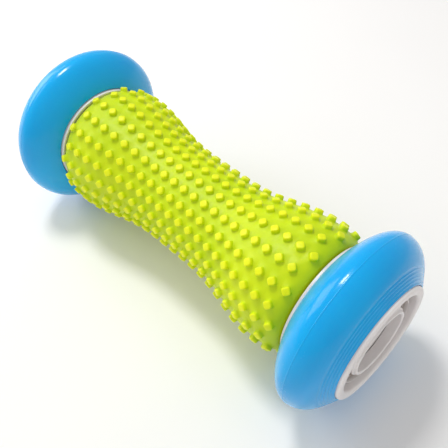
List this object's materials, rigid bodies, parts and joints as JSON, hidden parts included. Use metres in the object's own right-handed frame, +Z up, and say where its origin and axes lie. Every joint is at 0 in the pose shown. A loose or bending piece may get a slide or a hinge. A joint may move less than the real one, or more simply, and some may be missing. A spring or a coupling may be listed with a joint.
{
  "type": "foot massage roller",
  "caption": "Knobbed hourglass foot massage roller on a hollow core, carried clear of the floor between two free-running wheels.",
  "frame": {"origin": "on the floor under the middle of the roller, at the centre of the bottom of its bounding box", "axes": "+X along the axle towards the right wheel, +Z up, +Y completes a right-handed frame"},
  "size_m": [0.22, 0.09, 0.09],
  "materials": {
    "white_plastic": "satin moulded ABS",
    "lime_rubber": "soft satin moulded rubber",
    "blue_tyre": "glossy moulded soft PVC",
    "bearing_plastic": "natural acetal",
    "spring_steel": "phosphated spring steel"
  },
  "bodies": {
    "roller": {"core_tube": "white_plastic", "waist_coupler": "white_plastic", "massage_sleeve": "lime_rubber", "left_former": "white_plastic", "left_journal": "white_plastic", "left_retaining_ring": "spring_steel", "right_former": "white_plastic", "right_journal": "white_plastic", "right_retaining_ring": "spring_steel"},
    "left_wheel": {"left_wheel_hub": "white_plastic", "left_hub_collar": "white_plastic", "left_tyre": "blue_tyre", "left_bush": "bearing_plastic", "left_thrust_washer": "bearing_plastic", "left_retaining_washer": "spring_steel"},
    "right_wheel": {"right_wheel_hub": "white_plastic", "right_hub_collar": "white_plastic", "right_tyre": "blue_tyre", "right_bush": "bearing_plastic", "right_thrust_washer": "bearing_plastic", "right_retaining_washer": "spring_steel"}
  },
  "joints": [
    {"name": "left_wheel_spin", "type": "hinge", "parent": "roller", "child": "left_wheel", "pos_m": [-0.0929, 0, 0.045], "axis": [1, 0, 0], "continuous": true},
    {"name": "right_wheel_spin", "type": "hinge", "parent": "roller", "child": "right_wheel", "pos_m": [0.0929, 0, 0.045], "axis": [1, 0, 0], "continuous": true}
  ]
}
